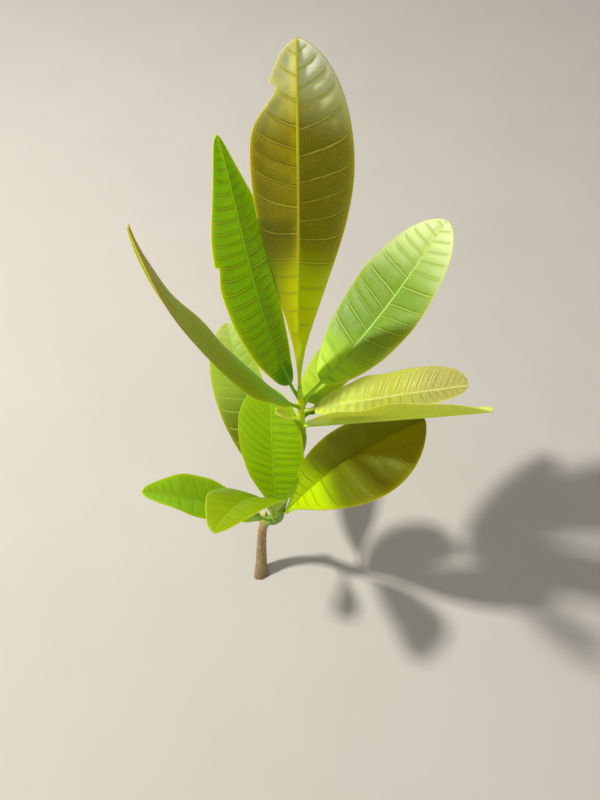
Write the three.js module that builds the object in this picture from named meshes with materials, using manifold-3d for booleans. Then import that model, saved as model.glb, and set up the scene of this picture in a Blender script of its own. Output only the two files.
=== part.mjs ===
// A young cashew tree, rooted at the origin: one stem and fourteen leaves.
// Millimetres, +Z up. The ground is the plane Z = 0, and +Y points away from a viewer in front.
import * as THREE from "three";
import { mergeVertices } from "three/addons/utils/BufferGeometryUtils.js";
import Module from "manifold-3d";

// Driving sizes of the stem: points of its centre line, each with the radius there.
// It flares at the ground, leans back, kinks where the seed leaves sat, and ends in a bud.
const STEM_STOPS = [
  { x: 0, y: 0, z: 0, radius: 6.2 },
  { x: 0.6, y: 4.5, z: 10, radius: 4.9 },
  { x: 1.8, y: 13.5, z: 33, radius: 3.9 },
  { x: 4.3, y: 19.5, z: 60, radius: 3.5 },
  { x: 8.5, y: 20, z: 73, radius: 3.8 },
  { x: 14, y: 17, z: 83, radius: 3.9 },
  { x: 18, y: 15.5, z: 93, radius: 3.4 },
  { x: 20, y: 17, z: 105, radius: 2.8 },
  { x: 25.4, y: 23.5, z: 126, radius: 2.3 },
  { x: 33.8, y: 38, z: 151, radius: 2.1 },
  { x: 36, y: 41.5, z: 165, radius: 2.1 },
  { x: 34.8, y: 44.5, z: 182, radius: 2.3 },
  { x: 33.9, y: 49.5, z: 202, radius: 2.2 },
  { x: 33.4, y: 53, z: 212, radius: 1.2 },
];
const STEM_STATIONS = 44;
const STEM_SIDES = 12;
const STEM_FINISH = { color: 0x8a7a4e, roughness: 0.8, metalness: 0 };

// The dry stub of the seed leaves, standing up beside the kink.
const STUB_STOPS = [
  { x: 3.8, y: 18.8, z: 57, radius: 2.6 },
  { x: 5.6, y: 21.8, z: 70, radius: 3.3 },
  { x: 6.6, y: 24.5, z: 81, radius: 1.6 },
];
const STUB_STATIONS = 7;

// Sizes that every leaf shares.
const PETIOLE_RADIUS = 1.1;
const BLADE_THICKNESS = 1;
const MIDRIB_THICKNESS = 1.8;
const SEAT_GAP = 0.3;
const PETIOLE_STATIONS = 3;
const BLADE_STATIONS = 15;
const BLADE_ONSET = 0.12;
const BLADE_END = 0.998;
const HOOK_POWER = 4;
const SECTION_CORNERS = 10;
const LEAF_FINISH = { roughness: 0.5, metalness: 0 };

// How closely points are merged, and how often a range is halved to find a height in it.
const MERGE_DISTANCE = 1e-4;
const HALVINGS = 30;

// One entry for each leaf, lengths in millimetres and angles in degrees.
// height and seat: where the petiole leaves the stem, the seat as a direction seen from above,
// counted from +X to +Y. heading: the direction in which the leaf goes, counted the same way.
// rise: angle above the level at the petiole. bend: change of the rise along the blade.
// hook: a further change, nearly all of it at the tip. sweep: change of the heading.
// roll: turn of the blade about its midrib. twist: the turn that is added towards the tip.
// fold: how far each half is raised from flat. length, petiole and width: sizes of the leaf.
// lopsided: how much wider the left half is than the mean. foot and tip: powers of the outline
// towards the blade's foot and tip, and the smaller one is, the rounder that end.
const LEAVES = [
  {
    name: "leaf_top", colour: 0x7b7a1e,
    height: 208, seat: 92, heading: 92, rise: 61, bend: 64, hook: -36,
    sweep: -6, roll: -2, twist: 6, fold: 24,
    length: 196, petiole: 10, width: 48.5, lopsided: -0.08, foot: 1.22, tip: 0.5,
  },
  {
    name: "leaf_upper_left", colour: 0x5fa30c,
    height: 205, seat: 141, heading: 141, rise: 63, bend: 32, hook: -24,
    sweep: -13, roll: -9, twist: 9, fold: 16,
    length: 155, petiole: 10, width: 35, lopsided: 0.34, foot: 0.74, tip: 0.56,
  },
  {
    name: "leaf_upper_right", colour: 0x93c83a,
    height: 202, seat: 36, heading: 36, rise: 30, bend: 19, hook: -9,
    sweep: 11, roll: 1, twist: -11, fold: 9,
    length: 120, petiole: 15, width: 50, lopsided: -0.05, foot: 0.6, tip: 0.54,
  },
  {
    name: "leaf_right_back", colour: 0x8cba3c,
    height: 197, seat: 53, heading: 53, rise: 11, bend: 0, hook: -6,
    sweep: -10, roll: 0, twist: 0, fold: 8,
    length: 102, petiole: 3, width: 31, lopsided: 0, foot: 0.35, tip: 0.43,
  },
  {
    name: "leaf_right_young", colour: 0xb5b45c,
    height: 195, seat: -16, heading: -16, rise: 37, bend: -9, hook: -3,
    sweep: 8, roll: -5, twist: -3, fold: 20,
    length: 96, petiole: 9, width: 34, lopsided: -0.04, foot: 0.5, tip: 0.36,
  },
  {
    name: "leaf_right_front", colour: 0x8dc22c,
    height: 182, seat: -30, heading: -30, rise: 46, bend: -6, hook: 3,
    sweep: 5, roll: -34, twist: -20, fold: 20,
    length: 130, petiole: 6, width: 40, lopsided: 0, foot: 0.5, tip: 0.6,
  },
  {
    name: "leaf_left", colour: 0x7f8622,
    height: 199, seat: 217, heading: 217, rise: 61, bend: 10, hook: 20,
    sweep: 2, roll: 2, twist: -17, fold: 5,
    length: 184, petiole: 13, width: 50, lopsided: 0, foot: 0.75, tip: 0.6,
  },
  {
    name: "leaflet_right", colour: 0x6f9a18,
    height: 190, seat: 20, heading: 20, rise: 4, bend: -5, hook: -5,
    sweep: 4, roll: 5, twist: 3, fold: 12,
    length: 28, petiole: 3, width: 12, lopsided: 0, foot: 0.7, tip: 0.45,
  },
  {
    name: "leaflet_left", colour: 0xb9b84a,
    height: 187, seat: 195, heading: 195, rise: 50, bend: 0, hook: -5,
    sweep: 0, roll: 4, twist: -4, fold: 20,
    length: 17, petiole: 3, width: 11, lopsided: 0, foot: 0.7, tip: 0.45,
  },
  {
    name: "leaf_lower_right", colour: 0x8d9b12,
    height: 104, seat: -40, heading: 16, rise: 66, bend: -33, hook: -15,
    sweep: -3, roll: 22, twist: 22, fold: 30,
    length: 134, petiole: 2, width: 58, lopsided: -0.13, foot: 1.35, tip: 0.67,
  },
  {
    name: "leaf_lower_front", colour: 0x74ad16,
    height: 106, seat: 225, heading: 99, rise: 65, bend: -11, hook: 1,
    sweep: -13, roll: -23, twist: -7, fold: 8,
    length: 98, petiole: 2, width: 47, lopsided: 0.1, foot: 0.85, tip: 0.46,
  },
  {
    name: "leaf_lower_back", colour: 0x9cc458,
    height: 98, seat: 108, heading: 108, rise: 28, bend: 7, hook: -1,
    sweep: 1, roll: -4, twist: -4, fold: 10,
    length: 132, petiole: 12, width: 39, lopsided: 0.2, foot: 0.9, tip: 0.59,
  },
  {
    name: "leaf_low_left", colour: 0x69a516,
    height: 84, seat: 195, heading: 195, rise: 61, bend: -17, hook: -4,
    sweep: -1, roll: 2, twist: 0, fold: 18,
    length: 112, petiole: 11, width: 33, lopsided: 0, foot: 0.77, tip: 0.48,
  },
  {
    name: "leaf_low_front", colour: 0x86ae1a,
    height: 90, seat: 223, heading: 223, rise: 92, bend: -51, hook: -28,
    sweep: 23, roll: 28, twist: -14, fold: 8,
    length: 121, petiole: 8, width: 43, lopsided: 0, foot: 1.3, tip: 0.55,
  },
];

// One closed body whose rings of points follow each other, with a flat fan at each end.
function loft(rings) {
  const sides = rings[0].length;
  const positions = rings.flat().flatMap((point) => [point.x, point.y, point.z]);
  const faces = [];
  for (let ring = 0; ring + 1 < rings.length; ring += 1) {
    for (let side = 0; side < sides; side += 1) {
      const a = ring * sides + side;
      const b = ring * sides + ((side + 1) % sides);
      faces.push(a, b, b + sides, a, b + sides, a + sides);
    }
  }
  const last = (rings.length - 1) * sides;
  for (let side = 1; side + 1 < sides; side += 1) {
    faces.push(0, side + 1, side);
    faces.push(last, last + side, last + side + 1);
  }
  const geometry = new THREE.BufferGeometry();
  geometry.setAttribute("position", new THREE.Float32BufferAttribute(positions, 3));
  geometry.setIndex(faces);
  geometry.computeVertexNormals();
  return geometry;
}

// A smooth centre line through the stops, which also gives the radius along it.
function routeThrough(stops) {
  const points = stops.map((stop) => new THREE.Vector3(stop.x, stop.y, stop.z));
  const curve = new THREE.CatmullRomCurve3(points, false, "centripetal");
  const radiusAt = (t) => {
    const place = t * (stops.length - 1);
    const before = Math.min(Math.floor(place), stops.length - 2);
    return THREE.MathUtils.lerp(stops[before].radius, stops[before + 1].radius, place - before);
  };
  return { curve, radiusAt };
}

// The part of a route's parameter at which it has climbed to a height, found by halving.
function parameterAtHeight(curve, height) {
  let low = 0;
  let high = 1;
  for (let step = 0; step < HALVINGS; step += 1) {
    const middle = (low + high) / 2;
    if (curve.getPoint(middle).z < height) {
      low = middle;
    } else {
      high = middle;
    }
  }
  return (low + high) / 2;
}

// A round body along a route. Its first ring is level, so it stands on a flat cut.
function roundBody(stops, stations) {
  const { curve, radiusAt } = routeThrough(stops);
  const rings = [];
  for (let station = 0; station <= stations; station += 1) {
    const t = station / stations;
    const centre = curve.getPoint(t);
    const axis = station === 0 ? new THREE.Vector3(0, 0, 1) : curve.getTangent(t);
    const across = new THREE.Vector3(0, 1, 0).cross(axis).normalize();
    const along = axis.clone().cross(across).normalize();
    const ring = [];
    for (let side = 0; side < STEM_SIDES; side += 1) {
      const angle = (2 * Math.PI * side) / STEM_SIDES;
      const point = centre.clone();
      point.addScaledVector(across, radiusAt(t) * Math.cos(angle));
      point.addScaledVector(along, radiusAt(t) * Math.sin(angle));
      ring.push(point);
    }
    rings.push(ring);
  }
  return loft(rings);
}

const wasm = await Module();
wasm.setup();

// A closed geometry as a solid that can be joined.
function toSolid(geometry) {
  const bare = geometry.clone();
  bare.deleteAttribute("normal");
  const merged = mergeVertices(bare, MERGE_DISTANCE);
  return new wasm.Manifold(
    new wasm.Mesh({
      numProp: 3,
      vertProperties: merged.attributes.position.array,
      triVerts: new Uint32Array(merged.index.array),
    }),
  );
}

// A joined solid as a geometry again.
function toGeometry(solid) {
  const mesh = solid.getMesh();
  const geometry = new THREE.BufferGeometry();
  geometry.setAttribute("position", new THREE.BufferAttribute(mesh.vertProperties, 3));
  geometry.setIndex(new THREE.BufferAttribute(mesh.triVerts, 1));
  geometry.computeVertexNormals();
  return geometry;
}

// The stem with its stub, as one body.
function makeStem() {
  const stem = toSolid(roundBody(STEM_STOPS, STEM_STATIONS));
  const stub = toSolid(roundBody(STUB_STOPS, STUB_STATIONS));
  const mesh = new THREE.Mesh(toGeometry(stem.add(stub)), new THREE.MeshStandardMaterial(STEM_FINISH));
  mesh.name = "stem";
  return mesh;
}

// Direction of travel for a heading and a rise, both in degrees.
function travel(heading, rise) {
  const level = Math.cos(THREE.MathUtils.degToRad(rise));
  return new THREE.Vector3(
    level * Math.cos(THREE.MathUtils.degToRad(heading)),
    level * Math.sin(THREE.MathUtils.degToRad(heading)),
    Math.sin(THREE.MathUtils.degToRad(rise)),
  );
}

// The axes of a leaf at u, which runs from 0 at the blade's base to 1 at its tip.
function leafAxes(leaf, u) {
  const heading = leaf.heading + leaf.sweep * u;
  const rise = leaf.rise + leaf.bend * u + leaf.hook * u ** HOOK_POWER;
  const forward = travel(heading, rise);
  const left = travel(heading + 90, 0);
  const upper = forward.clone().cross(left);
  const turn = THREE.MathUtils.degToRad(leaf.roll + leaf.twist * u);
  left.applyAxisAngle(forward, turn);
  upper.applyAxisAngle(forward, turn);
  return { forward, left, upper };
}

// Half of the blade's width at u: an egg shape that is widest towards the tip.
function halfWidth(leaf, u) {
  const widest = leaf.foot / (leaf.foot + leaf.tip);
  const shape = (at) => at ** leaf.foot * (1 - at) ** leaf.tip;
  return (leaf.width / 2) * (shape(u) / shape(widest));
}

// The corners of a leaf's section, one half of them on its upper face and one half below:
// a round petiole that opens into a folded blade, thickest at its midrib.
function leafRing(leaf, centre, axes, u) {
  const opened = THREE.MathUtils.smoothstep(u, 0, BLADE_ONSET);
  const reach = u > 0 ? halfWidth(leaf, u) : 0;
  const fold = THREE.MathUtils.degToRad(leaf.fold);
  const faceCorners = SECTION_CORNERS / 2;
  const ring = [];
  for (let corner = 0; corner < SECTION_CORNERS; corner += 1) {
    const angle = (2 * Math.PI * (corner + 0.5)) / SECTION_CORNERS;
    const side = corner < faceCorners ? 1 : -1;
    const across = side * (1 - (2 * (corner % faceCorners)) / (faceCorners - 1));
    const thickness = across === 0 ? MIDRIB_THICKNESS : BLADE_THICKNESS;
    const outwards = across * reach * (1 + leaf.lopsided * Math.sign(across));
    const sideways =
      outwards * Math.cos(fold) + (1 - opened) * PETIOLE_RADIUS * Math.cos(angle);
    const upwards =
      Math.abs(outwards) * Math.sin(fold) +
      (opened * side * thickness) / 2 +
      (1 - opened) * PETIOLE_RADIUS * Math.sin(angle);
    const point = centre.clone();
    point.addScaledVector(axes.left, sideways);
    point.addScaledVector(axes.upper, upwards);
    ring.push(point);
  }
  return ring;
}

// Where a petiole starts: out from the stem's centre line by the stem's radius, the gap
// and as much of its own radius as its slanting end needs.
function petioleSeat(leaf, forward, stemRoute) {
  const t = parameterAtHeight(stemRoute.curve, leaf.height);
  const stemAxis = stemRoute.curve.getTangent(t);
  const outward = travel(leaf.seat, 0).projectOnPlane(stemAxis).normalize();
  const slant = Math.sqrt(1 - forward.dot(outward) ** 2);
  const distance = stemRoute.radiusAt(t) + SEAT_GAP + slant * PETIOLE_RADIUS;
  return stemRoute.curve.getPoint(t).addScaledVector(outward, distance);
}

// One leaf: its petiole starts just clear of the stem, and its midrib is followed in equal steps.
function makeLeaf(leaf, stemRoute) {
  const petioleAxes = leafAxes(leaf, 0);
  const centre = petioleSeat(leaf, petioleAxes.forward, stemRoute);
  const rings = [];
  for (let station = 0; station < PETIOLE_STATIONS; station += 1) {
    rings.push(leafRing(leaf, centre, petioleAxes, 0));
    centre.addScaledVector(petioleAxes.forward, leaf.petiole / PETIOLE_STATIONS);
  }
  let before = 0;
  for (let station = 0; station <= BLADE_STATIONS; station += 1) {
    const u = BLADE_END * Math.sin((Math.PI / 2) * (station / BLADE_STATIONS));
    const axes = leafAxes(leaf, (before + u) / 2);
    centre.addScaledVector(axes.forward, leaf.length * (u - before));
    rings.push(leafRing(leaf, centre, leafAxes(leaf, u), u));
    before = u;
  }
  const material = new THREE.MeshStandardMaterial({ color: leaf.colour, ...LEAF_FINISH });
  const mesh = new THREE.Mesh(loft(rings), material);
  mesh.name = leaf.name;
  return mesh;
}

const tree = new THREE.Group();
tree.add(makeStem());
const stemRoute = routeThrough(STEM_STOPS);
for (const leaf of LEAVES) {
  tree.add(makeLeaf(leaf, stemRoute));
}

export default tree;
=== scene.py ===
# %% [markdown]
# # A young cashew tree
# The plant is one thin stem with fourteen leaves, and each leaf is a single large blade. Its solids are
# plain: thin folded blades on a round stem. Here each of them is replaced by a mesh with the real one's
# relief, and every surface gets a material worked out by nodes.

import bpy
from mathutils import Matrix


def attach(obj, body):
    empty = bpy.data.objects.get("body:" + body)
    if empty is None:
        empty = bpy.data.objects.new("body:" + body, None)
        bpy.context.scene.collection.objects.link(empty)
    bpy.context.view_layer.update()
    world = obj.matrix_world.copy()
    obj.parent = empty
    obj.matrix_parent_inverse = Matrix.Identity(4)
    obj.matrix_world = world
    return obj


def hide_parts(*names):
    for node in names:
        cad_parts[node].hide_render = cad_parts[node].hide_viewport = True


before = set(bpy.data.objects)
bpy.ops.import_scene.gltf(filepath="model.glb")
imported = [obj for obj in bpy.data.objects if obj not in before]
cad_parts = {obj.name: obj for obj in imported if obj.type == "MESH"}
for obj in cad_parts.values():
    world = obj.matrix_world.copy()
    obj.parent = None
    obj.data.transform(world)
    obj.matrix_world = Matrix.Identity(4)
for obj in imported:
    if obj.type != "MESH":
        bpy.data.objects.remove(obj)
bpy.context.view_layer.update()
print("plain solids:", len(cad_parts))

# %% Libraries and units
import math

import bpy
import numpy as np

MILLIMETRE = 0.001
FULL_TURN = 2 * math.pi

# %% [markdown]
# ## The camera
# The photograph looks steeply down on the plant from a little over half a metre above the ground, so the
# upper leaves look larger than the lower ones. The camera is tilted down, with no turn to the side. A lens
# is stated in millimetres on a 36 mm sensor, so the focal length in pixels is turned into that by the
# picture's long side.

# %% Place the camera
CAMERA_PLACE = (0.0337, -0.1485, 0.520)
CAMERA_LOOKS_DOWN = 58
FOCAL_PIXELS = 601
PICTURE_LONG_SIDE = 800
SENSOR_WIDTH = 36
NEAREST_SEEN = 0.01

camera = bpy.data.objects.new("camera", bpy.data.cameras.new("camera"))
camera.data.sensor_width = SENSOR_WIDTH
camera.data.lens = FOCAL_PIXELS / PICTURE_LONG_SIDE * SENSOR_WIDTH
camera.data.clip_start = NEAREST_SEEN
camera.location = CAMERA_PLACE
camera.rotation_euler = (math.radians(90 - CAMERA_LOOKS_DOWN), 0, 0)
bpy.context.scene.collection.objects.link(camera)
bpy.context.scene.camera = camera
bpy.context.scene.view_settings.view_transform = "Standard"
print("lens:", round(camera.data.lens, 2), "mm")

# %% [markdown]
# ## Nodes in few words
# A material here is a small sum of nodes. These helpers add one node each and give back its output, so
# that a material below reads like a formula. A constant goes straight onto the socket, and an output of
# another node is linked to it.

# %% Colours as shaders take them
def srgb(red, green, blue):
    """A colour given as 0 to 255 on screen, as the linear numbers that shaders take: each share is raised
    to the power 2.4 above a short straight foot."""
    share = np.array([red, green, blue]) / 255
    linear = np.where(share <= 0.04045, share / 12.92, ((share + 0.055) / 1.055) ** 2.4)
    return (*linear.tolist(), 1)


print("half of white on screen is", round(srgb(128, 128, 128)[0], 3), "to a shader")

# %% Helpers that add nodes
def add_node(tree, kind, inputs, **settings):
    """Adds a node, sets its properties, then sets or links each input, named by number or by name."""
    node = tree.nodes.new(kind)
    for name, value in settings.items():
        setattr(node, name, value)
    for name, value in inputs.items():
        if isinstance(value, bpy.types.NodeSocket):
            tree.links.new(value, node.inputs[name])
        else:
            node.inputs[name].default_value = value
    return node


def maths(tree, operation, first, second=0.0, third=0.0):
    """One sum of two numbers, such as ADD, or of three, such as MULTIPLY_ADD: first x second + third."""
    inputs = {0: first, 1: second, 2: third}
    return add_node(tree, "ShaderNodeMath", inputs, operation=operation).outputs[0]


def times(tree, first, second):
    """The product of two numbers."""
    return maths(tree, "MULTIPLY", first, second)


def ease(tree, value, low, high):
    """0 below low and 1 above high, with a soft step between. With low over high it falls instead."""
    inputs = {"Value": value, "From Min": low, "From Max": high}
    return add_node(tree, "ShaderNodeMapRange", inputs, interpolation_type="SMOOTHSTEP").outputs[0]


def tint(tree, share, first, second, blend_type="MIX"):
    """The first colour where share is 0 and the second, or their blend, where it is 1."""
    inputs = {0: share, 6: first, 7: second}
    return add_node(tree, "ShaderNodeMix", inputs, data_type="RGBA", blend_type=blend_type).outputs[2]


def noise(tree, place, scale, detail=2.0):
    """Soft random patches between 0 and 1, scale of them to a metre."""
    inputs = {"Vector": place, "Scale": scale, "Detail": detail}
    return add_node(tree, "ShaderNodeTexNoise", inputs).outputs[0]


def parts_of(tree, attribute):
    """The three numbers that a mesh holds for each point under that name."""
    read = add_node(tree, "ShaderNodeAttribute", {}, attribute_name=attribute)
    return add_node(tree, "ShaderNodeSeparateXYZ", {0: read.outputs["Vector"]}).outputs


def start_material(name):
    """An empty material: its tree, its main shader and the place on the object, in metres."""
    material = bpy.data.materials.new(name)
    material.use_nodes = True
    tree = material.node_tree
    tree.nodes.clear()
    shader = add_node(tree, "ShaderNodeBsdfPrincipled", {})
    add_node(tree, "ShaderNodeOutputMaterial", {"Surface": shader.outputs[0]})
    place = add_node(tree, "ShaderNodeTexCoord", {}).outputs["Object"]
    return material, tree, shader, place


def add_bump(tree, shader, height, strength, distance):
    """Tilts the shading as a relief of that height would, distance metres deep."""
    inputs = {"Strength": strength, "Distance": distance, "Height": height}
    bump = add_node(tree, "ShaderNodeBump", inputs)
    tree.links.new(bump.outputs[0], shader.inputs["Normal"])

# %% [markdown]
# ## Floor and light
# A plain pale floor takes the soil's place. The light is a soft studio light up on the left and a
# little behind, where the sun stood, so the leaves shade each other as they do outdoors and the upright
# ones glow with the light that comes through them. A pale sky all round fills the shadows.

# %% Lay the floor
FLOOR_REACH = 4.0
FLOOR_COLOURS = ((206, 201, 193), (214, 210, 203))
FLOOR_PATCHES = 9
FLOOR_ROUGHNESS = 0.9

floor_mesh = bpy.data.meshes.new("floor")
corners = [(x * FLOOR_REACH, y * FLOOR_REACH, 0) for x, y in ((-1, -1), (1, -1), (1, 1), (-1, 1))]
floor_mesh.from_pydata(corners, [], [(0, 1, 2, 3)])
floor = bpy.data.objects.new("floor", floor_mesh)
bpy.context.scene.collection.objects.link(floor)

floor_material, tree, shader, place = start_material("floor")
patches = noise(tree, place, FLOOR_PATCHES)
floor_colour = tint(tree, patches, *(srgb(*colour) for colour in FLOOR_COLOURS))
tree.links.new(floor_colour, shader.inputs["Base Color"])
shader.inputs["Roughness"].default_value = FLOOR_ROUGHNESS
floor_mesh.materials.append(floor_material)
print("floor:", 2 * FLOOR_REACH, "m wide")

# %% Hang the light
SUN_TRAVELS = np.array([0.75, -0.13, -1.0])
PLANT_MIDDLE = np.array([0.03, 0.04, 0.2])
KEY_DISTANCE = 1.7
KEY_SIZE = 0.12
KEY_WATTS = 30
KEY_COLOUR = (1.0, 0.97, 0.9)
SKY_COLOUR = (1.0, 0.98, 0.93, 1)
SKY_STRENGTH = 0.34


def add_softbox(name, place, target, size, watts, colour):
    """A square area light at place whose face is turned to target."""
    light = bpy.data.lights.new(name, "AREA")
    light.size = size
    light.energy = watts
    light.color = colour
    lamp = bpy.data.objects.new(name, light)
    away = place - target
    level = math.hypot(away[0], away[1])
    lamp.location = place
    lamp.rotation_euler = (math.atan2(level, away[2]), 0, math.atan2(away[0], -away[1]))
    bpy.context.scene.collection.objects.link(lamp)


key_place = PLANT_MIDDLE - SUN_TRAVELS / np.linalg.norm(SUN_TRAVELS) * KEY_DISTANCE
add_softbox("key_light", key_place, PLANT_MIDDLE, KEY_SIZE, KEY_WATTS, KEY_COLOUR)
world = bpy.data.worlds.new("sky")
world.use_nodes = True
sky = world.node_tree.nodes["Background"]
sky.inputs["Color"].default_value = SKY_COLOUR
sky.inputs["Strength"].default_value = SKY_STRENGTH
bpy.context.scene.world = world
print("key light at", [round(float(x), 2) for x in key_place])

# %% [markdown]
# ## One way to make every piece
# Stem, stub and leaves are all the same kind of surface: a closed outline carried along a line. Numpy
# works out all the rings at once, and this function turns the grid of points into a mesh of quads with
# a face at each end. What the materials need to know about each point goes along as attributes.

# %% From rings to a piece
def soft_step(value, low, high):
    """0 below low, 1 above high, and 3 s^2 - 2 s^3 of the share s of the way between them."""
    share = np.clip((value - low) / (high - low), 0, 1)
    return share * share * (3 - 2 * share)


def make_piece(name, rings, facts, material):
    """A closed mesh: neighbouring points of neighbouring rings make quads, and the first and last ring
    are closed by one face each. rings is stations x corners x 3, in millimetres, and facts holds three
    numbers for each point under each name."""
    stations, corners = rings.shape[:2]
    number = np.arange(stations * corners).reshape(stations, corners)
    here, ahead = number[:-1], number[1:]
    quads = np.stack([here, np.roll(here, -1, 1), np.roll(ahead, -1, 1), ahead], -1).reshape(-1, 4)
    ends = [number[0, ::-1].tolist(), number[-1].tolist()]
    mesh = bpy.data.meshes.new(name)
    mesh.from_pydata(rings.reshape(-1, 3) * MILLIMETRE, [], quads.tolist() + ends)
    for fact, values in facts.items():
        attribute = mesh.attributes.new(fact, "FLOAT_VECTOR", "POINT")
        attribute.data.foreach_set("vector", values.astype(np.float32).ravel())
    mesh.shade_smooth()
    mesh.materials.append(material)
    piece = bpy.data.objects.new(name, mesh)
    bpy.context.scene.collection.objects.link(piece)
    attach(piece, "root")
    return piece

# %% [markdown]
# ## The stem's line
# The stem leans back as it rises and kinks where the two seed leaves sat. A few points with their radii
# say that, and a smooth curve joins them. The curve is the one that the plain solid follows, so that the
# leaves are seated on it. Between two points it is a cubic whose slopes depend on how far apart the
# neighbours are, which keeps it from swinging out at a short step.

# %% A smooth line through the stem's stops
STEM_STOPS = np.array([
    (0, 0, 0), (0.6, 4.5, 10), (1.8, 13.5, 33), (4.3, 19.5, 60), (8.5, 20, 73), (14, 17, 83),
    (18, 15.5, 93), (20, 17, 105), (25.4, 23.5, 126), (33.8, 38, 151), (36, 41.5, 165),
    (34.8, 44.5, 182), (33.9, 49.5, 202), (33.4, 53, 212),
])
STEM_RADII = np.array([6.2, 4.9, 3.9, 3.5, 3.8, 3.9, 3.4, 2.8, 2.3, 2.1, 2.1, 2.3, 2.2, 1.2])
STUB_STOPS = np.array([(3.8, 18.8, 57), (5.6, 21.8, 70), (6.6, 24.5, 81)])
STUB_RADII = np.array([2.6, 3.3, 1.6])
STEM_SAMPLES = 2001


def unit(vectors):
    """Each vector divided by its length."""
    return vectors / np.linalg.norm(vectors, axis=-1, keepdims=True)


def radius_along(radii, share):
    """The radius at each share of the way, on straight lines between the stops."""
    return np.interp(share * (len(radii) - 1), np.arange(len(radii)), radii)


def line_through(stops, share):
    """Points of a smooth line, share from 0 to 1 along it, with its directions. Between two stops it is
    the cubic that leaves and arrives with the slope of the neighbouring steps, each step counted as the
    square root of its length. At the ends the first or last step is repeated outwards."""
    spread = np.vstack([2 * stops[0] - stops[1], stops, 2 * stops[-1] - stops[-2]])
    step = np.sqrt(np.linalg.norm(np.diff(spread, axis=0), axis=1))
    along = share * (len(stops) - 1)
    span = np.clip(np.floor(along).astype(int), 0, len(stops) - 2)
    p0, p1, p2, p3 = (spread[span + k] for k in range(4))
    d0, d1, d2 = (step[span + k][:, None] for k in range(3))
    leave = ((p1 - p0) / d0 - (p2 - p0) / (d0 + d1) + (p2 - p1) / d1) * d1
    arrive = ((p2 - p1) / d1 - (p3 - p1) / (d1 + d2) + (p3 - p2) / d2) * d1
    t = (along - span)[:, None]
    square, cube = 3 * (p2 - p1) - 2 * leave - arrive, 2 * (p1 - p2) + leave + arrive
    points = p1 + leave * t + square * t**2 + cube * t**3
    return points, unit(leave + 2 * square * t + 3 * cube * t**2)


def stem_at(height):
    """The stem's middle, its direction and its radius at a height, in millimetres."""
    share = np.linspace(0, 1, STEM_SAMPLES)
    climb = line_through(STEM_STOPS, share)[0][:, 2]
    found = np.interp(height, climb, share)
    point, axis = line_through(STEM_STOPS, np.array([found]))
    return point[0], axis[0], radius_along(STEM_RADII, found)


print("stem tip at", stem_at(STEM_STOPS[-1, 2])[0].round(1), "mm")

# %% [markdown]
# ## The leaves' sizes
# A leaf is told in plain words: how high it leaves the stem, which way it heads, how steeply it rises,
# how that changes towards the tip, how it is turned and folded, and how long and wide it is. Angles are
# in degrees, lengths in millimetres. The first row of each entry is the direction, the second the
# blade's outline, and the third its surface. Foot and tip are powers of the outline, and the smaller one
# is, the rounder that end. Lopsided says how much wider the left half is than the mean. Pairs is how many
# side veins each half would have if they stood in equal steps, swell is how far the blade rises between
# them at the foot and at the tip, and wave how far its edges swing.

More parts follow.
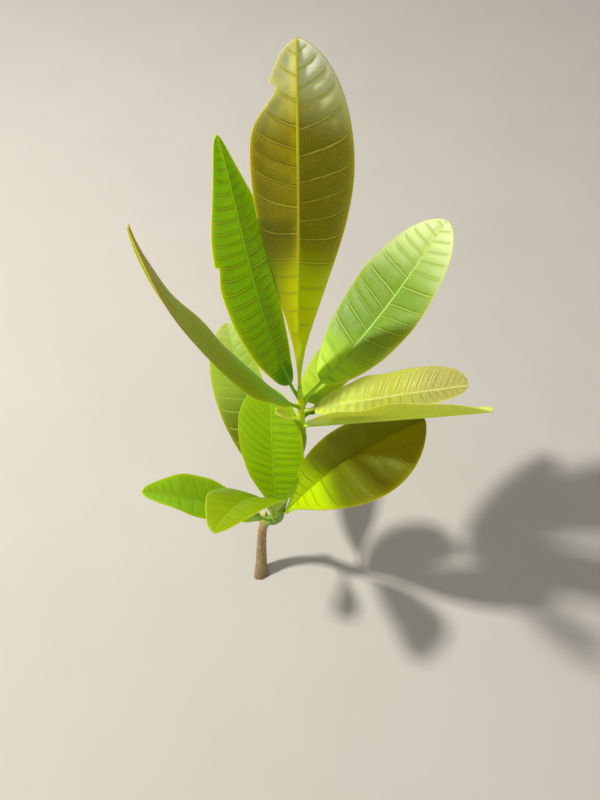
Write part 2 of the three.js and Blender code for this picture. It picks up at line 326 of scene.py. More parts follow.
# %% Fourteen leaves
LEAVES = {
    "leaf_top": dict(
        height=208, seat=92, heading=92, rise=61, bend=64, hook=-36, sweep=-6, roll=-2, twist=6, fold=24,
        length=196, petiole=10, width=48.5, lopsided=-0.08, foot=1.22, tip=0.5,
        pairs=14, swell=(0.5, 1.6), wave=0.5),
    "leaf_upper_left": dict(
        height=205, seat=141, heading=141, rise=63, bend=32, hook=-24, sweep=-13, roll=-9, twist=9, fold=16,
        length=155, petiole=10, width=36, lopsided=0.27, foot=0.62, tip=0.56,
        pairs=21, swell=(1.0, 1.0), wave=0.5),
    "leaf_upper_right": dict(
        height=202, seat=36, heading=36, rise=30, bend=19, hook=-9, sweep=11, roll=1, twist=-11, fold=9,
        length=120, petiole=15, width=52, lopsided=0.05, foot=0.6, tip=0.54,
        pairs=12, swell=(0.6, 0.6), wave=0.6),
    "leaf_right_back": dict(
        height=197, seat=53, heading=53, rise=11, bend=0, hook=-6, sweep=-10, roll=0, twist=0, fold=8,
        length=102, petiole=3, width=31, lopsided=0, foot=0.35, tip=0.43,
        pairs=12, swell=(0.4, 0.4), wave=0.4),
    "leaf_right_young": dict(
        height=195, seat=-16, heading=-16, rise=37, bend=-9, hook=-3, sweep=8, roll=-5, twist=-3, fold=20,
        length=96, petiole=9, width=34, lopsided=-0.04, foot=0.5, tip=0.36,
        pairs=17, swell=(1.0, 1.0), wave=0.8),
    "leaf_right_front": dict(
        height=182, seat=-30, heading=-30, rise=46, bend=-6, hook=3, sweep=5, roll=-36, twist=-20, fold=20,
        length=130, petiole=6, width=42, lopsided=0, foot=0.5, tip=0.6,
        pairs=13, swell=(0.3, 0.3), wave=0.8),
    "leaf_left": dict(
        height=199, seat=217, heading=217, rise=61, bend=10, hook=20, sweep=2, roll=2, twist=-17, fold=5,
        length=184, petiole=13, width=50, lopsided=0, foot=0.75, tip=0.6,
        pairs=15, swell=(0.2, 0.2), wave=0.6),
    "leaflet_right": dict(
        height=190, seat=20, heading=20, rise=4, bend=-5, hook=-5, sweep=4, roll=5, twist=3, fold=12,
        length=28, petiole=3, width=12, lopsided=0, foot=0.7, tip=0.45,
        pairs=9, swell=(0.2, 0.2), wave=0.2),
    "leaflet_left": dict(
        height=187, seat=195, heading=195, rise=50, bend=0, hook=-5, sweep=0, roll=4, twist=-4, fold=20,
        length=17, petiole=3, width=11, lopsided=0, foot=0.7, tip=0.45,
        pairs=8, swell=(0.2, 0.2), wave=0.2),
    "leaf_lower_right": dict(
        height=104, seat=-40, heading=16, rise=66, bend=-33, hook=-15, sweep=-3, roll=22, twist=22, fold=30,
        length=134, petiole=2, width=58, lopsided=-0.13, foot=1.35, tip=0.67,
        pairs=12, swell=(0.5, 0.5), wave=0.5),
    "leaf_lower_front": dict(
        height=106, seat=225, heading=99, rise=65, bend=-11, hook=1, sweep=-13, roll=-23, twist=-7, fold=8,
        length=98, petiole=2, width=51, lopsided=-0.02, foot=0.85, tip=0.46,
        pairs=17, swell=(0.4, 0.4), wave=0.5),
    "leaf_lower_back": dict(
        height=98, seat=108, heading=108, rise=28, bend=7, hook=-1, sweep=1, roll=-4, twist=-4, fold=10,
        length=132, petiole=12, width=39, lopsided=0.2, foot=0.9, tip=0.59,
        pairs=13, swell=(0.25, 0.25), wave=0.6),
    "leaf_low_left": dict(
        height=84, seat=195, heading=195, rise=61, bend=-17, hook=-4, sweep=-1, roll=2, twist=0, fold=18,
        length=112, petiole=11, width=33, lopsided=0, foot=0.77, tip=0.48,
        pairs=12, swell=(0.15, 0.15), wave=0.6),
    "leaf_low_front": dict(
        height=90, seat=223, heading=223, rise=92, bend=-51, hook=-28, sweep=23, roll=28, twist=-14, fold=8,
        length=121, petiole=8, width=43, lopsided=0, foot=1.3, tip=0.55,
        pairs=12, swell=(0.2, 0.2), wave=0.6),
}
print("longest leaf:", max(LEAVES, key=lambda name: LEAVES[name]["length"]))

# %% [markdown]
# ## The shape of a leaf
# A leaf could be a flat sheet with a picture of veins on it, but this plant is seen from close by and its
# blades are quilted: the side veins lie in furrows and the blade swells between them. So the surface is
# worked out as a height over two parameters, one along the midrib and one across. Its outline runs over
# the upper side and back along the lower one, and at the foot it closes to the round leaf stalk.

# %% The axes of a leaf
HOOK_POWER = 4


def travel(heading, rise):
    """Unit vectors for headings and rises in degrees: level part cos(rise), upward part sin(rise)."""
    heading, rise = np.radians(heading), np.radians(rise)
    level = np.cos(rise)
    return np.stack([level * np.cos(heading), level * np.sin(heading), np.sin(rise)], -1)


def leaf_axes(leaf, u):
    """Three unit vectors at each u, 0 at the blade's foot and 1 at its tip: along the midrib, to the
    leaf's left, and out of its upper side. The last two are turned about the first by roll and twist."""
    heading = leaf["heading"] + leaf["sweep"] * u
    rise = leaf["rise"] + leaf["bend"] * u + leaf["hook"] * u**HOOK_POWER
    forward = travel(heading, rise)
    left = travel(heading + 90, np.zeros_like(u))
    upper = np.cross(forward, left)
    turn = np.radians(leaf["roll"] + leaf["twist"] * u)[:, None]
    turned_left = left * np.cos(turn) + upper * np.sin(turn)
    return forward, turned_left, upper * np.cos(turn) - left * np.sin(turn)


print("the top leaf sets off towards", leaf_axes(LEAVES["leaf_top"], np.zeros(1))[0][0].round(2))

# %% [markdown]
# The stalk starts just inside the stem's bark, thickened like a knuckle, and leans out of it. The plain
# solid starts a small gap away from the stem, and the mesh closes that gap.

# %% The midrib's line
STALK_RADIUS = 1.1
STALK_GAP = 0.3
STALK_STATIONS = 16
BLADE_STATIONS = 200
TIP_SHARE = 0.998
STATIONS_CROWD = 1.1
STALK_LEAN = 5.0
STALK_SINKS = 1.6


def stalk_seat(leaf, forward):
    """Where the plain solid's stalk starts, and the way out of the stem there. It is as far out from the
    stem's middle as the stem's radius, the gap and what the stalk's own slanting end needs."""
    point, axis, radius = stem_at(leaf["height"])
    level = travel(leaf["seat"], 0.0)
    outward = unit(level - axis * (level @ axis))
    slant = math.sqrt(1 - (forward @ outward) ** 2)
    return point + outward * (radius + STALK_GAP + slant * STALK_RADIUS), outward, axis


def midrib_line(leaf):
    """Stations along a leaf: u along the blade, the distance along the stalk, and the middle of each ring.
    u crowds towards the tip as 1 - (1 - s) ^ (c + c s^4), which rounds it off in even steps. The middle
    moves along the midrib's direction by the length of each step."""
    s = np.linspace(0, TIP_SHARE, BLADE_STATIONS)
    u = 1 - (1 - s) ** (STATIONS_CROWD + STATIONS_CROWD * s**4)
    forward = leaf_axes(leaf, np.zeros(1))[0][0]
    seat, outward, axis = stalk_seat(leaf, forward)
    run = np.linspace(0, leaf["petiole"], STALK_STATIONS, endpoint=False)
    lean = 1 - soft_step(run, 0, STALK_LEAN)
    sunk = outward * -(STALK_RADIUS + STALK_GAP + STALK_SINKS) - axis * STALK_SINKS
    stalk = seat + forward * run[:, None] + sunk * lean[:, None]
    steps = leaf_axes(leaf, (u[1:] + u[:-1]) / 2)[0] * (leaf["length"] * np.diff(u))[:, None]
    foot = seat + forward * leaf["petiole"]
    blade = foot + np.vstack([np.zeros(3), np.cumsum(steps, axis=0)])
    from_seat = np.concatenate([run, np.full(BLADE_STATIONS, leaf["petiole"])])
    return np.concatenate([np.zeros(STALK_STATIONS), u]), from_seat, np.vstack([stalk, blade])


print("tip of the top leaf at", midrib_line(LEAVES["leaf_top"])[2][-1].round(1), "mm")

# %% [markdown]
# The outline is the same simple curve for every leaf. Some leaves end in more of a point, and two have an
# old injury in their left edge: a notch that the blade grew round.

# %% The outline
NOTCHES = {"leaf_top": (0.92, 0.44, 0.5), "leaf_upper_left": (0.63, 0.12, 0.0)}
NOTCH_BEFORE = 0.045
NOTCH_AFTER = 0.01
POINTED = {"leaf_upper_left": 0.45, "leaf_right_front": 0.1, "leaf_low_left": 0.3, "leaf_low_front": 0.3}
POINT_STARTS = 0.72


def half_width(leaf, u):
    """Half of the blade's width: u^foot (1 - u)^tip, scaled to its width where it is widest."""
    widest = leaf["foot"] / (leaf["foot"] + leaf["tip"])
    shape = lambda at: at ** leaf["foot"] * (1 - at) ** leaf["tip"]
    return leaf["width"] / 2 * shape(u) / shape(widest)


def pointed(name, u):
    """A factor that narrows some leaves towards their tip, from 1 where it starts."""
    return 1 - POINTED.get(name, 0) * soft_step(u, POINT_STARTS, 1)


def notched(name, u, v):
    """How much of the left half is left beside an old injury: 1 minus its depth times e to the power of
    minus the squared distance. Past the notch a share of the depth stays, up to the tip."""
    at, depth, stays = NOTCHES.get(name, (0.5, 0.0, 0.0))
    before = np.exp(-(((u - at) / NOTCH_BEFORE) ** 2))
    after = stays + (1 - stays) * np.exp(-(((u - at) / NOTCH_AFTER) ** 2))
    return 1 - depth * np.where(u < at, before, after) * (v > 0)


print("broadest leaf:", max(leaf["width"] for leaf in LEAVES.values()), "mm")

# %% [markdown]
# Side veins leave the midrib nearly square to it near the foot and slant more and more towards the tip,
# on a few leaves more or less than on the rest. Just inside the edge they turn up to meet the next one.
# They don't stand in equal steps, so the count of veins is a smooth but uneven function of the place, and
# a vein lies wherever that count is a whole number.

# %% Where the side veins lie
VEIN_LEAN_FOOT = 0.09
VEIN_LEAN_GROWS = 0.36
VEIN_CURL = 3.2
CURL_NEEDS_REACH = 12.0
VEINS_CROWD = 0.15
CROWD_POWER = 8
VEINS_WANDER = 0.2
WANDER_WAVES = 2.7
VEIN_BOWS = 0.12
MORE_LEAN = {
    "leaf_top": (0.42, 0.42), "leaf_upper_right": (-0.2, -0.2), "leaf_lower_front": (0.34, -0.16),
}
MORE_LEAN_GROWS = (0.42, 0.72)


def vein_count(name, leaf, u, v, reach, random):
    """The number of side veins between the foot and a point. The vein through a point left the midrib at
    s = u - (lean x distance from the rib + curl) / length, and the count is pairs (s + crowd s^8)
    plus a slow wave. MORE_LEAN is added to the lean of the left and the right half from the middle of
    the leaf on. The right half is half a step ahead of the left one."""
    a = np.abs(v)
    lean = VEIN_LEAN_FOOT + VEIN_LEAN_GROWS * u + VEIN_BOWS * (1 - a)
    left, right = MORE_LEAN.get(name, (0, 0))
    lean = lean + np.where(v > 0, left, right) * soft_step(u, *MORE_LEAN_GROWS)
    curl = VEIN_CURL * a**5 * soft_step(reach, 0, CURL_NEEDS_REACH)
    s = u - (lean * a * reach + curl) / leaf["length"]
    phase = random.uniform(0, FULL_TURN, 2)[(v < 0).astype(int)]
    wander = VEINS_WANDER * np.sin(FULL_TURN * WANDER_WAVES * s + phase)
    return leaf["pairs"] * (s + VEINS_CROWD * s**CROWD_POWER) + wander + 0.5 * (v < 0)


print("side veins on each half of the top leaf:", round(LEAVES["leaf_top"]["pairs"] * (1 + VEINS_CROWD)))

# %% [markdown]
# The blade isn't flat between its veins and along its edges. It rises between two side veins, each field
# by its own strength, and its edges swing slowly up and down.

# %% Swellings and wavy edges
SPARE_FIELDS = 4
FIELD_STRENGTHS = (0.7, 1.2)
FIELD_ROUNDS = 0.7
CLEAR_OF_RIB = (0.3, 4)
CLEAR_OF_EDGE = (0, 8)
CLEAR_OF_FOOT = (0.05, 0.2)
SWELL_GROWS = (0.4, 0.85)
EDGE_WAVES = (2, 3, 4)
EDGE_WAVES_GROW = (0.1, 0.4)


def swellings(leaf, u, from_rib, from_edge, veins, random):
    """How far the blade rises between its side veins: |sin(pi count)|^0.7 times the field's strength and
    the leaf's swell, fading out at the rib, at the edge and at the foot. A few strengths are spare,
    because the count runs a little past both ends."""
    strengths = random.uniform(*FIELD_STRENGTHS, leaf["pairs"] + 2 * SPARE_FIELDS)
    strength = strengths[np.floor(veins).astype(int) + SPARE_FIELDS]
    between = np.abs(np.sin(math.pi * veins)) ** FIELD_ROUNDS
    room = soft_step(from_rib, *CLEAR_OF_RIB) * soft_step(from_edge, *CLEAR_OF_EDGE)
    low, high = leaf["swell"]
    swell = low + (high - low) * soft_step(u, *SWELL_GROWS)
    return swell * strength * between * room * soft_step(u, *CLEAR_OF_FOOT)


def edge_wave(leaf, u, v, random):
    """How far the blade swings up at its edges: wave x v^2 times a sum of sin(2 pi k u + phase) / (k - 1),
    with phases of its own for each half. It starts a little past the foot."""
    phases = random.uniform(0, FULL_TURN, (2, len(EDGE_WAVES)))[(v < 0).astype(int)]
    sines = (
        np.sin(FULL_TURN * k * u + phases[:, number]) / (k - 1) for number, k in enumerate(EDGE_WAVES)
    )
    return leaf["wave"] * sum(sines) * v**2 * soft_step(u, *EDGE_WAVES_GROW)


print("waviest leaf:", max(LEAVES, key=lambda name: LEAVES[name]["wave"]))

# %% [markdown]
# Now the whole surface. Across the leaf, a corner's place goes from the left edge over the upper side to
# the right edge and back underneath. The corners crowd at the edges, which rounds them, and at the midrib,
# which keeps its ridge crisp. The blade is folded along its midrib and each half arches a little. On top
# the midrib is a low ridge, and underneath it stands out as a half round.

# %% The surface of one leaf
HALF_CELLS = 20
CORNERS_CROWD = 1.5
BLADE_OPENS = 0.12
BLADE_THICKNESS = 0.55
EDGE_ROUNDS = 8
EDGE_ARCH = 0.35
RIB_FOOT = 1.05
RIB_TIP = 0.22
RIB_NARROWS = 0.8
RIB_SHOWS_ABOVE = 0.3
KNUCKLE_SWELLS = 0.7
KNUCKLE_REACH = 2.6


def leaf_surface(name, leaf, seed):
    """Rings of a leaf and what its material reads at each point.
    Sideways a point lies at v W cos(fold). Upwards it lies at W sin(fold) (|v| + arch |v| (1 - |v|)),
    plus the swelling between veins, plus the wave of the edge, plus or minus half the thickness, plus a
    low ridge on the upper side and minus a half round on the lower one. v runs from 1 at the left edge to
    -1 at the right one. At the foot all this gives way to the round stalk."""
    random = np.random.default_rng(seed)
    u, from_seat, middle = midrib_line(leaf)
    forward, left, upper = leaf_axes(leaf, u)
    u = u[:, None]
    turn = np.arange(4 * HALF_CELLS) * math.pi / (2 * HALF_CELLS)
    v = np.sign(np.cos(turn)) * np.abs(np.cos(turn)) ** CORNERS_CROWD
    v[[HALF_CELLS, 3 * HALF_CELLS]] = 0
    a = np.abs(v)
    upper_side = turn <= math.pi
    reach = half_width(leaf, u) * (1 + leaf["lopsided"] * np.sign(v)) * pointed(name, u) * notched(name, u, v)
    from_rib = a * reach
    from_edge = (1 - a) * reach
    veins = vein_count(name, leaf, u, v, reach, random)
    swelling = swellings(leaf, u, from_rib, from_edge, veins, random)
    waving = edge_wave(leaf, u, v, random)

    fold = math.radians(leaf["fold"])
    rib = RIB_TIP + (RIB_FOOT - RIB_TIP) * (1 - u) ** RIB_NARROWS
    ridge = np.sqrt(np.maximum(rib**2 - from_rib**2, 0))
    thickness = BLADE_THICKNESS * np.sqrt(1 - a**EDGE_ROUNDS)
    skin = np.where(upper_side, thickness / 2 + RIB_SHOWS_ABOVE * ridge, -thickness / 2 - ridge)
    knuckle = KNUCKLE_SWELLS * np.exp(-((from_seat[:, None] / KNUCKLE_REACH) ** 2))
    stalk = STALK_RADIUS * (1 + knuckle)
    opened = soft_step(u, 0, BLADE_OPENS)
    sideways = v * reach * math.cos(fold) + (1 - opened) * stalk * np.cos(turn)
    folded = reach * math.sin(fold) * (a + EDGE_ARCH * a * (1 - a))
    upwards = folded + opened * (swelling + waving + skin) + (1 - opened) * stalk * np.sin(turn)

    rings = middle[:, None] + left[:, None] * sideways[..., None] + upper[:, None] * upwards[..., None]
    across, along, under = (np.broadcast_to(fact, from_rib.shape) for fact in (v, u, 1.0 - upper_side))
    facts = {
        "blade_share": np.stack([across, along, under], -1),
        "blade_reach": np.stack([from_rib, from_edge, veins], -1),
    }
    return rings, facts


print("points on each leaf:", (STALK_STATIONS + BLADE_STATIONS) * 4 * HALF_CELLS)

# %% [markdown]
# ## The leaves' colours
# Cashew leaves come out reddish brown and turn yellow-green and then green, so one plant shows them all.
# Every leaf has the same pattern: a pale midrib, side veins, a fine net and an edge line on a slightly
# mottled blade. Only the colours differ. Each leaf names the blade's colour at its foot, middle and tip,
# where the two changes lie along it, the colour of its veins and that of its edge. Some of these colours
# are painted light: the pale bluish tips of the top leaf, the upper right leaf and the lower back leaf are
# a painted sheen, and the dark middle and tip of the lower right leaf, with its dark veins and edge, are a
# painted shadow of the leaves above it. Crease shade says how much painted shade darkens the furrows beside
# the veins, and gloss how strongly the waxy skin mirrors. Glow says how light comes through: how far it
# spreads in metres, and how much of its blue gets as far as its red.

# %% Colours of each leaf
LOOKS = {
    # Painted sheen: the top leaf's pale bluish tip colour stands for the sky mirrored on its bent-back tip.
    "leaf_top": dict(
        foot=(226, 252, 6), middle=(130, 136, 12), tip=(230, 244, 208), turns=(0.24, 0.52, 0.8, 0.98),
        vein=(206, 212, 90), edge=(146, 116, 40), crease_shade=0.5, gloss=0.33, glow=(0.003, 0.3)),
    "leaf_upper_left": dict(
        foot=(110, 166, 10), middle=(118, 188, 6), tip=(122, 198, 8), turns=(0.1, 0.5, 0.6, 1),
        vein=(170, 218, 60), edge=(204, 220, 110), crease_shade=0.65, gloss=0.2, glow=(0.003, 0.12)),
    # Painted sheen: the upper right leaf's pale bluish tip colour stands for the sky mirrored on it.
    "leaf_upper_right": dict(
        foot=(206, 244, 40), middle=(120, 160, 36), tip=(220, 240, 176), turns=(0, 0.35, 0.6, 1),
        vein=(174, 210, 80), edge=(226, 236, 110), crease_shade=0.38, gloss=0.35, glow=(0.003, 0.12)),
    "leaf_right_back": dict(
        foot=(184, 218, 46), middle=(160, 196, 40), tip=(150, 190, 50), turns=(0, 0.5, 0.5, 1),
        vein=(190, 220, 90), edge=(190, 220, 90), crease_shade=0.2, gloss=0.3, glow=(0.003, 0.12)),
    "leaf_right_young": dict(
        foot=(228, 240, 104), middle=(190, 194, 68), tip=(172, 168, 96), turns=(0.15, 0.5, 0.55, 0.85),
        vein=(218, 222, 130), edge=(196, 184, 70), crease_shade=0.25, gloss=0.35, glow=(0.003, 0.12)),
    "leaf_right_front": dict(
        foot=(196, 236, 76), middle=(222, 255, 84), tip=(232, 255, 110), turns=(0, 0.12, 0.8, 1),
        vein=(206, 240, 80), edge=(222, 240, 120), crease_shade=0.05, gloss=0.25, glow=(0.003, 0.12)),
    "leaf_left": dict(
        foot=(152, 204, 14), middle=(152, 176, 16), tip=(158, 150, 40), turns=(0.1, 0.45, 0.6, 0.95),
        vein=(170, 186, 30), edge=(160, 128, 40), crease_shade=0.1, gloss=0.05, glow=(0.003, 0.05)),
    "leaflet_right": dict(
        foot=(120, 160, 16), middle=(116, 155, 16), tip=(110, 155, 20), turns=(0, 0.5, 0.5, 1),
        vein=(160, 196, 60), edge=(170, 206, 80), crease_shade=0.2, gloss=0.3, glow=(0.003, 0.12)),
    "leaflet_left": dict(
        foot=(206, 236, 60), middle=(210, 234, 60), tip=(210, 226, 70), turns=(0, 0.5, 0.5, 1),
        vein=(220, 234, 120), edge=(206, 214, 90), crease_shade=0.2, gloss=0.25, glow=(0.003, 0.12)),
    # Painted shadow: the lower right leaf's dark middle and tip, and its dark veins and edge, stand for the
    # shadow of the leaves above it.
    "leaf_lower_right": dict(
        foot=(196, 236, 0), middle=(98, 118, 2), tip=(94, 112, 2), turns=(0.3, 0.5, 0.7, 1),
        vein=(114, 130, 14), edge=(100, 112, 10), crease_shade=0.25, gloss=0.12, glow=(0.003, 0.1)),
    "leaf_lower_front": dict(
        foot=(146, 190, 0), middle=(144, 188, 0), tip=(146, 188, 2), turns=(0, 0.5, 0.6, 1),
        vein=(164, 200, 40), edge=(170, 200, 50), crease_shade=0.4, gloss=0.15, glow=(0.003, 0.08)),
    # Painted sheen: the lower back leaf's pale whitish tip colour stands for the sky mirrored on its smooth
    # skin.
    "leaf_lower_back": dict(
        foot=(70, 110, 0), middle=(150, 190, 70), tip=(186, 212, 130), turns=(0.35, 0.75, 0.75, 1),
        vein=(172, 204, 92), edge=(206, 220, 140), crease_shade=0.1, gloss=0.4, glow=(0.003, 0.12)),
    "leaf_low_left": dict(
        foot=(154, 200, 34), middle=(150, 206, 42), tip=(156, 212, 50), turns=(0, 0.5, 0.6, 1),
        vein=(164, 212, 60), edge=(190, 212, 74), crease_shade=0.2, gloss=0.25, glow=(0.003, 0.12)),
    "leaf_low_front": dict(
        foot=(136, 170, 4), middle=(136, 168, 0), tip=(140, 168, 0), turns=(0, 0.5, 0.6, 1),
        vein=(156, 188, 34), edge=(184, 200, 56), crease_shade=0.2, gloss=0.15, glow=(0.003, 0.1)),
}
print("leaf colours:", len({look["middle"] for look in LOOKS.values()}))

# %% [markdown]
# The pattern needs no picture. The mesh brings along how far a point is from the rib and from the edge, in
# millimetres, and how many side veins lie below it, so each line is a soft step over one of those numbers.
# First comes the blade's own colour, mottled by noise, with a few rusty flecks on some of the leaves.

# %% The blade's colour
MOTTLE_SCALE = 60
MOTTLE_SHARE = 0.5
MOTTLE_COLOUR = (104, 120, 40)
FLECKS = {"leaf_lower_right": 0.4, "leaf_low_left": 0.4, "leaflet_left": 0.35, "leaf_upper_left": 0.15}
FLECK_SCALE = 260
FLECKS_START = (0.69, 0.74)
FLECK_COLOUR = (140, 110, 20)


def blade_colour(tree, place, first, second, look, flecks):
    """The foot's colour turns into the middle's by the first share and into the tip's by the second.
    Noise mottles it, and flecks lie over that."""
    foot, middle, tip = (srgb(*look[key]) for key in ("foot", "middle", "tip"))
    blade = tint(tree, second, tint(tree, first, foot, middle), tip)
    mottle = times(tree, noise(tree, place, MOTTLE_SCALE, detail=4), MOTTLE_SHARE)
    blade = tint(tree, mottle, blade, srgb(*MOTTLE_COLOUR), "SOFT_LIGHT")
    if flecks:
        spots = ease(tree, noise(tree, place, FLECK_SCALE, detail=1), *FLECKS_START)
        blade = tint(tree, times(tree, spots, flecks), blade, srgb(*FLECK_COLOUR))
    return blade


print("leaves with flecks:", len(FLECKS))

# %% [markdown]
# A vein lies wherever the count of veins is a whole number, so the distance to it is the count's distance
# from that number times the spacing. Each vein lies in a wider furrow. Veins fade here and there, as real
# ones do, and both end short of the edge.

# %% Furrows, veins and the fine net
VEIN_WIDTHS = (0.55, 0.1375)
FURROW_WIDTHS = (1.7, 0.2)
VEINS_END = (0.2, 4.5)
FADES_SCALE = 45
FADES_BY = 0.9
FADED_LEAST = 0.2
NET_SCALE = 520
NET_WIDTHS = (0.1, 0.02)


def vein_patterns(tree, place, from_edge, veins, spacing):
    """Shares from 0 to 1: the furrows, the veins in them, and the net of the finest veins."""
    to_vein = times(tree, maths(tree, "PINGPONG", veins, 0.5), spacing)
    inside = ease(tree, from_edge, *VEINS_END)
    furrow = times(tree, ease(tree, to_vein, *FURROW_WIDTHS), inside)
    fading = maths(tree, "MULTIPLY_ADD", noise(tree, place, FADES_SCALE), FADES_BY, FADED_LEAST)
    line = times(tree, times(tree, ease(tree, to_vein, *VEIN_WIDTHS), inside), fading)
    cells = {"Vector": place, "Scale": NET_SCALE}
    net = add_node(tree, "ShaderNodeTexVoronoi", cells, feature="DISTANCE_TO_EDGE")
    return furrow, line, ease(tree, net.outputs["Distance"], *NET_WIDTHS)


print("a vein is up to", 2 * VEIN_WIDTHS[0], "mm wide, its furrow", 2 * FURROW_WIDTHS[0], "mm")

# %% [markdown]
# The midrib narrows towards the tip and pales from the foot's colour to the veins'. A thin line runs along
# the edge, and the lower side is a little paler than the upper one.

# %% The rib, the edge and the lower side
RIB_WIDTH_FOOT = 0.0078
RIB_WIDTH_TIP = 0.0042
RIB_CORE = 0.4
RIB_PALES = 0.5
EDGE_WIDTHS = (0.7, 0.7 / 3)
EDGE_STARTS = (0.02, 0.1)
EDGE_SHARE = 0.7
UNDERSIDE_SHARE = 0.3
UNDERSIDE_COLOUR = (190, 222, 20)


def rib_share(tree, along, from_rib, length):
    """1 on the midrib. Its half width is a share of the leaf's length that falls from foot to tip."""
    narrowing = (RIB_WIDTH_TIP - RIB_WIDTH_FOOT) * length
    width = maths(tree, "MULTIPLY_ADD", along, narrowing, RIB_WIDTH_FOOT * length)
    return ease(tree, from_rib, width, times(tree, width, RIB_CORE))


def rim_share(tree, along, from_edge):
    """Most of 1 on the line along the edge, which starts a little past the foot."""
    line = times(tree, ease(tree, from_edge, *EDGE_WIDTHS), ease(tree, along, *EDGE_STARTS))
    return times(tree, line, EDGE_SHARE)


print("the midrib's painted width at the foot is", 2 * RIB_WIDTH_FOOT, "of the leaf's length")

# %% [markdown]
# All of these are painted over the blade in turn, and the darkening of the furrows is painted shade. The bump
# follows the same patterns, so that light and colour agree: furrows lie low, veins stand up in them and a
# fine grain covers it all. A leaf is so thin that light comes through it, which the shader's subsurface share
# stands for.

# %% One material for each leaf
FURROW_SHADE_COLOUR = (96, 124, 20)
NET_SHARE = 0.12
GRAIN_SCALE = 900
GRAIN_HEIGHT = 0.25
FURROW_HEIGHT = -0.6
VEIN_HEIGHT = 0.5
NET_HEIGHT = -0.12
LEAF_ROUGHNESS = 0.36
GRAIN_ROUGHENS = 0.2
GREEN_SPREAD = 0.8


def leaf_material(name, look, flecks, length, pairs):
    """The blade's colour, then painted shade in the furrows, then net, veins, rib, edge and lower side
    painted over it.
    """
    material, tree, shader, place = start_material(name)
    along, under = parts_of(tree, "blade_share")[1:3]
    from_rib, from_edge, veins = parts_of(tree, "blade_reach")
    foot, vein, edge = (srgb(*look[key]) for key in ("foot", "vein", "edge"))
    first, second = ease(tree, along, *look["turns"][:2]), ease(tree, along, *look["turns"][2:])
    furrow, line, net = vein_patterns(tree, place, from_edge, veins, length / pairs)

    blade = blade_colour(tree, place, first, second, look, flecks)
    # Painted shade: the furrows beside the veins are darkened, as much as the leaf's crease share says.
    blade = tint(tree, times(tree, furrow, look["crease_shade"]), blade, srgb(*FURROW_SHADE_COLOUR), "MULTIPLY")
    blade = tint(tree, times(tree, net, NET_SHARE), blade, vein)
    blade = tint(tree, line, blade, vein)
    rib_colour = tint(tree, maths(tree, "MULTIPLY_ADD", first, 1 - RIB_PALES, RIB_PALES), foot, vein)
    blade = tint(tree, rib_share(tree, along, from_rib, length), blade, rib_colour)
    blade = tint(tree, rim_share(tree, along, from_edge), blade, edge)
    blade = tint(tree, times(tree, under, UNDERSIDE_SHARE), blade, srgb(*UNDERSIDE_COLOUR))
    tree.links.new(blade, shader.inputs["Base Color"])

    grain = noise(tree, place, GRAIN_SCALE, detail=3)
    roughness = maths(tree, "MULTIPLY_ADD", grain, GRAIN_ROUGHENS, LEAF_ROUGHNESS)
    tree.links.new(roughness, shader.inputs["Roughness"])
    height = maths(tree, "MULTIPLY_ADD", furrow, FURROW_HEIGHT, times(tree, grain, GRAIN_HEIGHT))
    height = maths(tree, "MULTIPLY_ADD", line, VEIN_HEIGHT, height)
    height = maths(tree, "MULTIPLY_ADD", net, NET_HEIGHT, height)
    add_bump(tree, shader, height, strength=0.6, distance=0.0004)
    shader.inputs["Subsurface Weight"].default_value = 1.0
    shader.inputs["Subsurface Radius"].default_value = (1.0, GREEN_SPREAD, look["glow"][1])
    shader.inputs["Subsurface Scale"].default_value = look["glow"][0]
    shader.inputs["Specular IOR Level"].default_value = look["gloss"]
    return material

# %% Grow the leaves
FIRST_SEED = 11

for number, (name, leaf) in enumerate(LEAVES.items()):
    rings, facts = leaf_surface(name, leaf, FIRST_SEED + number)
    flecks = FLECKS.get(name, 0)
    material = leaf_material(name + "_blade", LOOKS[name], flecks, leaf["length"], leaf["pairs"])
    piece = make_piece(name + "_blade", rings, facts, material)
    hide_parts(name)
print("leaves:", len(LEAVES), "faces in each:", len(piece.data.polygons))

# %% [markdown]
# ## The stem's bark
# The foot of the stem is corky and pitted, with small pale pores, and turns smooth and green above the
# kink. A bump in the material alone would leave the outline as smooth as a pipe, so the relief moves the
# points: shallow ridges along the stem, low humps for the pores, swellings where the leaf stalks sit and
# uneven lobes where it meets the ground.

# %% Humps and spokes
def spokes(axis, sides):
    """The angles of a ring's corners and the unit vectors towards them, round each direction in turn:
    cos(angle) across + sin(angle) along, where across is Y x axis and along is axis x across."""
    across = unit(np.cross(np.array([0.0, 1.0, 0.0]), axis))
    along = np.cross(axis, across)
    angle = np.arange(sides) * FULL_TURN / sides
    return angle, np.cos(angle)[:, None] * across[:, None] + np.sin(angle)[:, None] * along[:, None]


def humps(height, angle, at_height, at_angle, long, wide):
    """A sum of round humps: e to the power of minus the squared distance, counted in hump sizes."""
    up = (height[..., None] - at_height) / long
    aside = (angle[..., None] - at_angle + math.pi) % FULL_TURN - math.pi
    return np.exp(-(up**2) - (aside / wide) ** 2).sum(-1)


print("corners of a ring of four:", spokes(np.array([[0.0, 0.0, 1.0]]), 4)[1][0].round(1).tolist())

# %% [markdown]
# Heights, lengths and depths here are in millimetres, and widths round the stem in radians. The cork's
# relief fades out above the kink. The lobes are two cosines round the foot that fade with height.

# %% Bark relief
STEM_STATIONS = 420
STEM_SIDES = 56
BARK_SEED = 5
LEVEL_BELOW = 16
CORK_FADES = (45, 92)
RIDGES = (5, 8, 11, 14)
RIDGE_HEIGHT = 0.07
RIDGE_STRENGTHS = (0.3, 1)
RIDGES_WANDER = (6, 14)
LOBES = ((3, 0.6, 8, 0.5), (5, 0.0, 6, 0.3))
PORES = 90
PORES_LIE = (1, 72)
PORE_LONG, PORE_WIDE, PORE_HEIGHT = 0.7, 0.12, 0.25
KNUCKLES_HANG = 1.5
KNUCKLE_LONG, KNUCKLE_WIDE, KNUCKLE_HEIGHT = 3.0, 0.7, 0.45


